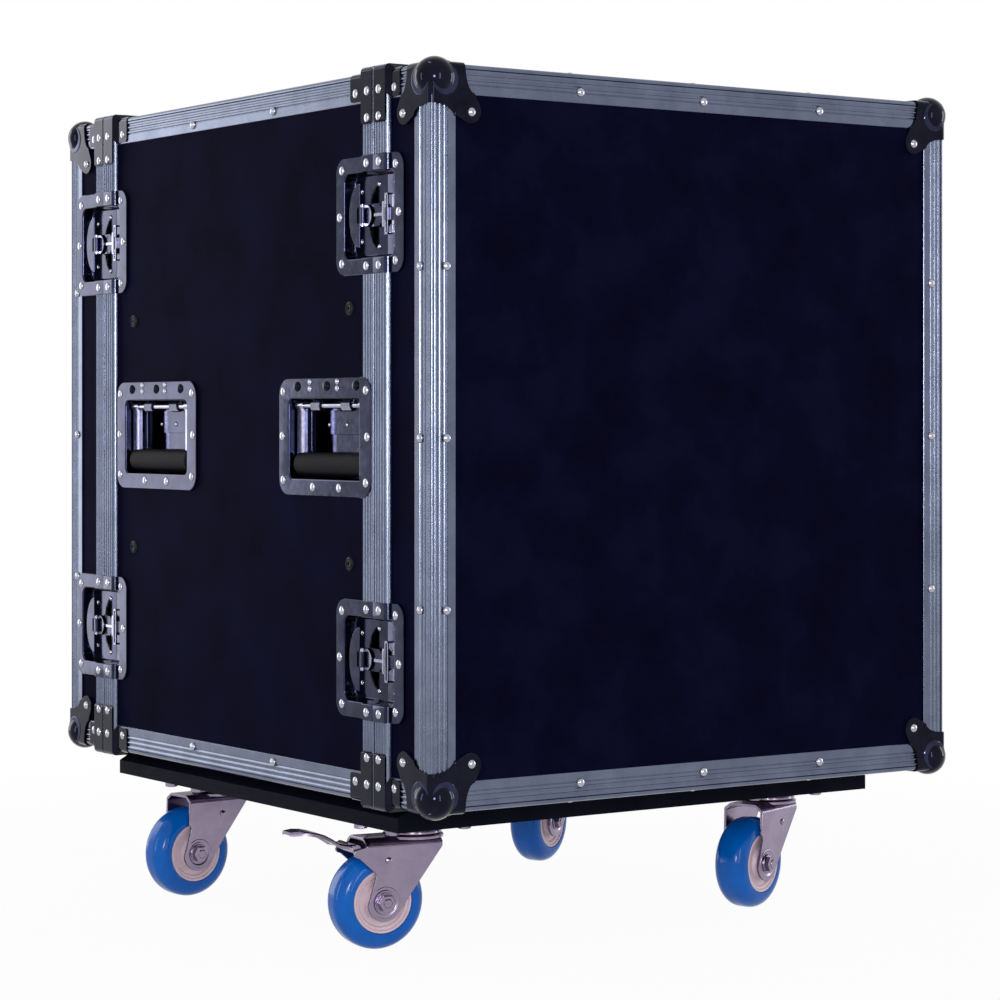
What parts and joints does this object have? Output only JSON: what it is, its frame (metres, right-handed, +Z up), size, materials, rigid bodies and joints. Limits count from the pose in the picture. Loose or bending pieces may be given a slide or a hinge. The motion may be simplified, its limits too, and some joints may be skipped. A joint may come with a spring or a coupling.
{
  "type": "rack flight case",
  "caption": "Rolling rack flight case: black laminate in aluminium edging, pull-off front and rear lids, recessed butterfly latches, sprung side handles, swivel casters.",
  "frame": {"origin": "on the floor under the middle of the part's bounding box", "axes": "+Z up; the front lid faces -Y; +X to the right when seen from the front"},
  "size_m": [0.5775, 0.6342, 0.7148],
  "materials": {
    "laminate": "satin",
    "aluminium": "satin",
    "chrome": "gloss",
    "grip_rubber": "matte",
    "rail_paint": "satin",
    "board_paint": "matte",
    "zinc_steel": "satin",
    "blue_tyre": "satin"
  },
  "bodies": {
    "case": {"body_top_panel": "laminate", "body_bottom_panel": "laminate", "body_left_panel": "laminate", "body_right_panel": "laminate", "body_frame": "aluminium", "caster_board": "board_paint", "rack_rail_front_left": "rail_paint", "handle_dish_front_left": "chrome", "rack_rail_front_right": "rail_paint", "handle_dish_front_right": "chrome", "rack_rail_rear_left": "rail_paint", "handle_dish_rear_left": "chrome", "rack_rail_rear_right": "rail_paint", "handle_dish_rear_right": "chrome", "caster_plate_front_left": "zinc_steel", "caster_plate_rear_left": "zinc_steel", "caster_plate_front_right": "zinc_steel", "caster_plate_rear_right": "zinc_steel"},
    "front_lid": {"front_lid_panel": "laminate", "front_lid_frame": "aluminium"},
    "rear_lid": {"rear_lid_panel": "laminate", "rear_lid_frame": "aluminium"},
    "latch_hub_front_left_upper": {"latch_hub_front_left_upper": "chrome"},
    "latch_wing_front_left_upper": {"latch_wing_front_left_upper": "chrome"},
    "latch_hook_front_left_upper": {"latch_hook_front_left_upper": "chrome"},
    "latch_hub_front_left_lower": {"latch_hub_front_left_lower": "chrome"},
    "latch_wing_front_left_lower": {"latch_wing_front_left_lower": "chrome"},
    "latch_hook_front_left_lower": {"latch_hook_front_left_lower": "chrome"},
    "latch_hub_front_right_upper": {"latch_hub_front_right_upper": "chrome"},
    "latch_wing_front_right_upper": {"latch_wing_front_right_upper": "chrome"},
    "latch_hook_front_right_upper": {"latch_hook_front_right_upper": "chrome"},
    "latch_hub_front_right_lower": {"latch_hub_front_right_lower": "chrome"},
    "latch_wing_front_right_lower": {"latch_wing_front_right_lower": "chrome"},
    "latch_hook_front_right_lower": {"latch_hook_front_right_lower": "chrome"},
    "latch_hub_rear_left_upper": {"latch_hub_rear_left_upper": "chrome"},
    "latch_wing_rear_left_upper": {"latch_wing_rear_left_upper": "chrome"},
    "latch_hook_rear_left_upper": {"latch_hook_rear_left_upper": "chrome"},
    "latch_hub_rear_left_lower": {"latch_hub_rear_left_lower": "chrome"},
    "latch_wing_rear_left_lower": {"latch_wing_rear_left_lower": "chrome"},
    "latch_hook_rear_left_lower": {"latch_hook_rear_left_lower": "chrome"},
    "latch_hub_rear_right_upper": {"latch_hub_rear_right_upper": "chrome"},
    "latch_wing_rear_right_upper": {"latch_wing_rear_right_upper": "chrome"},
    "latch_hook_rear_right_upper": {"latch_hook_rear_right_upper": "chrome"},
    "latch_hub_rear_right_lower": {"latch_hub_rear_right_lower": "chrome"},
    "latch_wing_rear_right_lower": {"latch_wing_rear_right_lower": "chrome"},
    "latch_hook_rear_right_lower": {"latch_hook_rear_right_lower": "chrome"},
    "handle_grip_front_left": {"handle_grip_front_left": "grip_rubber"},
    "handle_grip_front_right": {"handle_grip_front_right": "grip_rubber"},
    "handle_grip_rear_left": {"handle_grip_rear_left": "grip_rubber"},
    "handle_grip_rear_right": {"handle_grip_rear_right": "grip_rubber"},
    "caster_fork_front_left": {"caster_fork_front_left": "zinc_steel"},
    "caster_wheel_front_left": {"caster_wheel_front_left": "blue_tyre"},
    "brake_pedal_front_left": {"brake_pedal_front_left": "zinc_steel"},
    "caster_fork_rear_left": {"caster_fork_rear_left": "zinc_steel"},
    "caster_wheel_rear_left": {"caster_wheel_rear_left": "blue_tyre"},
    "caster_fork_front_right": {"caster_fork_front_right": "zinc_steel"},
    "caster_wheel_front_right": {"caster_wheel_front_right": "blue_tyre"},
    "caster_fork_rear_right": {"caster_fork_rear_right": "zinc_steel"},
    "caster_wheel_rear_right": {"caster_wheel_rear_right": "blue_tyre"},
    "brake_pedal_rear_right": {"brake_pedal_rear_right": "zinc_steel"}
  },
  "joints": [
    {"name": "front_lid_pull_off", "type": "slide", "parent": "case", "child": "front_lid", "axis": [0, -1, 0], "range_m": [0, 0.15]},
    {"name": "rear_lid_pull_off", "type": "slide", "parent": "case", "child": "rear_lid", "axis": [0, 1, 0], "range_m": [0, 0.15]},
    {"name": "latch_turn_front_left_upper", "type": "hinge", "parent": "case", "child": "latch_hub_front_left_upper", "pos_m": [-0.2517, -0.2113, 0.596], "axis": [-1, 0, 0], "range_deg": [0, 180]},
    {"name": "latch_wing_fold_front_left_upper", "type": "hinge", "parent": "latch_hub_front_left_upper", "child": "latch_wing_front_left_upper", "pos_m": [-0.2529, -0.2113, 0.596], "axis": [0, 0, 1], "range_deg": [0, 90]},
    {"name": "latch_hook_draw_front_left_upper", "type": "slide", "parent": "case", "child": "latch_hook_front_left_upper", "axis": [0.5547, 0.8321, 0], "range_m": [0, 0.00361]},
    {"name": "latch_turn_front_left_lower", "type": "hinge", "parent": "case", "child": "latch_hub_front_left_lower", "pos_m": [-0.2517, -0.2113, 0.242], "axis": [-1, 0, 0], "range_deg": [0, 180]},
    {"name": "latch_wing_fold_front_left_lower", "type": "hinge", "parent": "latch_hub_front_left_lower", "child": "latch_wing_front_left_lower", "pos_m": [-0.2529, -0.2113, 0.242], "axis": [0, 0, 1], "range_deg": [0, 90]},
    {"name": "latch_hook_draw_front_left_lower", "type": "slide", "parent": "case", "child": "latch_hook_front_left_lower", "axis": [0.5547, 0.8321, 0], "range_m": [0, 0.00361]},
    {"name": "latch_turn_front_right_upper", "type": "hinge", "parent": "case", "child": "latch_hub_front_right_upper", "pos_m": [0.2803, -0.2113, 0.596], "axis": [1, 0, 0], "range_deg": [0, 180]},
    {"name": "latch_wing_fold_front_right_upper", "type": "hinge", "parent": "latch_hub_front_right_upper", "child": "latch_wing_front_right_upper", "pos_m": [0.2815, -0.2113, 0.596], "axis": [0, 0, -1], "range_deg": [0, 90]},
    {"name": "latch_hook_draw_front_right_upper", "type": "slide", "parent": "case", "child": "latch_hook_front_right_upper", "axis": [-0.5547, 0.8321, 0], "range_m": [0, 0.00361]},
    {"name": "latch_turn_front_right_lower", "type": "hinge", "parent": "case", "child": "latch_hub_front_right_lower", "pos_m": [0.2803, -0.2113, 0.242], "axis": [1, 0, 0], "range_deg": [0, 180]},
    {"name": "latch_wing_fold_front_right_lower", "type": "hinge", "parent": "latch_hub_front_right_lower", "child": "latch_wing_front_right_lower", "pos_m": [0.2815, -0.2113, 0.242], "axis": [0, 0, -1], "range_deg": [0, 90]},
    {"name": "latch_hook_draw_front_right_lower", "type": "slide", "parent": "case", "child": "latch_hook_front_right_lower", "axis": [-0.5547, 0.8321, 0], "range_m": [0, 0.00361]},
    {"name": "latch_turn_rear_left_upper", "type": "hinge", "parent": "rear_lid", "child": "latch_hub_rear_left_upper", "pos_m": [-0.2517, 0.2573, 0.596], "axis": [-1, 0, 0], "range_deg": [0, 180]},
    {"name": "latch_wing_fold_rear_left_upper", "type": "hinge", "parent": "latch_hub_rear_left_upper", "child": "latch_wing_rear_left_upper", "pos_m": [-0.2529, 0.2573, 0.596], "axis": [0, 0, 1], "range_deg": [0, 90]},
    {"name": "latch_hook_draw_rear_left_upper", "type": "slide", "parent": "rear_lid", "child": "latch_hook_rear_left_upper", "axis": [0.5547, 0.8321, 0], "range_m": [0, 0.00361]},
    {"name": "latch_turn_rear_left_lower", "type": "hinge", "parent": "rear_lid", "child": "latch_hub_rear_left_lower", "pos_m": [-0.2517, 0.2573, 0.242], "axis": [-1, 0, 0], "range_deg": [0, 180]},
    {"name": "latch_wing_fold_rear_left_lower", "type": "hinge", "parent": "latch_hub_rear_left_lower", "child": "latch_wing_rear_left_lower", "pos_m": [-0.2529, 0.2573, 0.242], "axis": [0, 0, 1], "range_deg": [0, 90]},
    {"name": "latch_hook_draw_rear_left_lower", "type": "slide", "parent": "rear_lid", "child": "latch_hook_rear_left_lower", "axis": [0.5547, 0.8321, 0], "range_m": [0, 0.00361]},
    {"name": "latch_turn_rear_right_upper", "type": "hinge", "parent": "rear_lid", "child": "latch_hub_rear_right_upper", "pos_m": [0.2803, 0.2573, 0.596], "axis": [1, 0, 0], "range_deg": [0, 180]},
    {"name": "latch_wing_fold_rear_right_upper", "type": "hinge", "parent": "latch_hub_rear_right_upper", "child": "latch_wing_rear_right_upper", "pos_m": [0.2815, 0.2573, 0.596], "axis": [0, 0, -1], "range_deg": [0, 90]},
    {"name": "latch_hook_draw_rear_right_upper", "type": "slide", "parent": "rear_lid", "child": "latch_hook_rear_right_upper", "axis": [-0.5547, 0.8321, 0], "range_m": [0, 0.00361]},
    {"name": "latch_turn_rear_right_lower", "type": "hinge", "parent": "rear_lid", "child": "latch_hub_rear_right_lower", "pos_m": [0.2803, 0.2573, 0.242], "axis": [1, 0, 0], "range_deg": [0, 180]},
    {"name": "latch_wing_fold_rear_right_lower", "type": "hinge", "parent": "latch_hub_rear_right_lower", "child": "latch_wing_rear_right_lower", "pos_m": [0.2815, 0.2573, 0.242], "axis": [0, 0, -1], "range_deg": [0, 90]},
    {"name": "latch_hook_draw_rear_right_lower", "type": "slide", "parent": "rear_lid", "child": "latch_hook_rear_right_lower", "axis": [-0.5547, 0.8321, 0], "range_m": [0, 0.00361]},
    {"name": "handle_lift_front_left", "type": "hinge", "parent": "case", "child": "handle_grip_front_left", "pos_m": [-0.2457, -0.1552, 0.44475], "axis": [0, 1, 0], "range_deg": [0, 90], "stiffness_Nm_per_rad": 0.25, "springref_deg": -28.65},
    {"name": "handle_lift_front_right", "type": "hinge", "parent": "case", "child": "handle_grip_front_right", "pos_m": [0.2743, -0.1552, 0.44475], "axis": [0, -1, 0], "range_deg": [0, 90], "stiffness_Nm_per_rad": 0.25, "springref_deg": -28.65},
    {"name": "handle_lift_rear_left", "type": "hinge", "parent": "case", "child": "handle_grip_rear_left", "pos_m": [-0.2457, 0.13855, 0.44475], "axis": [0, 1, 0], "range_deg": [0, 90], "stiffness_Nm_per_rad": 0.25, "springref_deg": -28.65},
    {"name": "handle_lift_rear_right", "type": "hinge", "parent": "case", "child": "handle_grip_rear_right", "pos_m": [0.2743, 0.13855, 0.44475], "axis": [0, -1, 0], "range_deg": [0, 90], "stiffness_Nm_per_rad": 0.25, "springref_deg": -28.65},
    {"name": "caster_swivel_front_left", "type": "hinge", "parent": "case", "child": "caster_fork_front_left", "pos_m": [-0.1757, -0.165, 0.104], "axis": [0, 0, 1], "continuous": true},
    {"name": "wheel_spin_front_left", "type": "hinge", "parent": "caster_fork_front_left", "child": "caster_wheel_front_left", "pos_m": [-0.20944, -0.16086, 0.04], "axis": [-0.1219, -0.9925, 0], "continuous": true},
    {"name": "brake_press_front_left", "type": "hinge", "parent": "caster_fork_front_left", "child": "brake_pedal_front_left", "pos_m": [-0.23326, -0.15793, 0.0845], "axis": [-0.1219, -0.9925, 0], "range_deg": [0, 10]},
    {"name": "caster_swivel_rear_left", "type": "hinge", "parent": "case", "child": "caster_fork_rear_left", "pos_m": [-0.1757, 0.165, 0.104], "axis": [0, 0, 1], "continuous": true},
    {"name": "wheel_spin_rear_left", "type": "hinge", "parent": "caster_fork_rear_left", "child": "caster_wheel_rear_left", "pos_m": [-0.20957, 0.16204, 0.04], "axis": [0.0872, -0.9962, 0], "continuous": true},
    {"name": "caster_swivel_front_right", "type": "hinge", "parent": "case", "child": "caster_fork_front_right", "pos_m": [0.2043, -0.165, 0.104], "axis": [0, 0, 1], "continuous": true},
    {"name": "wheel_spin_front_right", "type": "hinge", "parent": "caster_fork_front_right", "child": "caster_wheel_front_right", "pos_m": [0.17235, -0.17663, 0.04], "axis": [0.342, -0.9397, 0], "continuous": true},
    {"name": "caster_swivel_rear_right", "type": "hinge", "parent": "case", "child": "caster_fork_rear_right", "pos_m": [0.2043, 0.165, 0.104], "axis": [0, 0, 1], "continuous": true},
    {"name": "wheel_spin_rear_right", "type": "hinge", "parent": "caster_fork_rear_right", "child": "caster_wheel_rear_right", "pos_m": [0.17428, 0.14904, 0.04], "axis": [0.4695, -0.8829, 0], "continuous": true},
    {"name": "brake_press_rear_right", "type": "hinge", "parent": "caster_fork_rear_right", "child": "brake_pedal_rear_right", "pos_m": [0.15309, 0.13777, 0.0845], "axis": [0.4695, -0.8829, 0], "range_deg": [0, 10]}
  ],
  "couplings": [
    {"joint": "latch_hook_draw_front_left_upper", "follows": "latch_turn_front_left_upper", "m_per_rad": 0.0011477},
    {"joint": "latch_hook_draw_front_left_lower", "follows": "latch_turn_front_left_lower", "m_per_rad": 0.0011477},
    {"joint": "latch_hook_draw_front_right_upper", "follows": "latch_turn_front_right_upper", "m_per_rad": 0.0011477},
    {"joint": "latch_hook_draw_front_right_lower", "follows": "latch_turn_front_right_lower", "m_per_rad": 0.0011477},
    {"joint": "latch_hook_draw_rear_left_upper", "follows": "latch_turn_rear_left_upper", "m_per_rad": 0.0011477},
    {"joint": "latch_hook_draw_rear_left_lower", "follows": "latch_turn_rear_left_lower", "m_per_rad": 0.0011477},
    {"joint": "latch_hook_draw_rear_right_upper", "follows": "latch_turn_rear_right_upper", "m_per_rad": 0.0011477},
    {"joint": "latch_hook_draw_rear_right_lower", "follows": "latch_turn_rear_right_lower", "m_per_rad": 0.0011477}
  ]
}
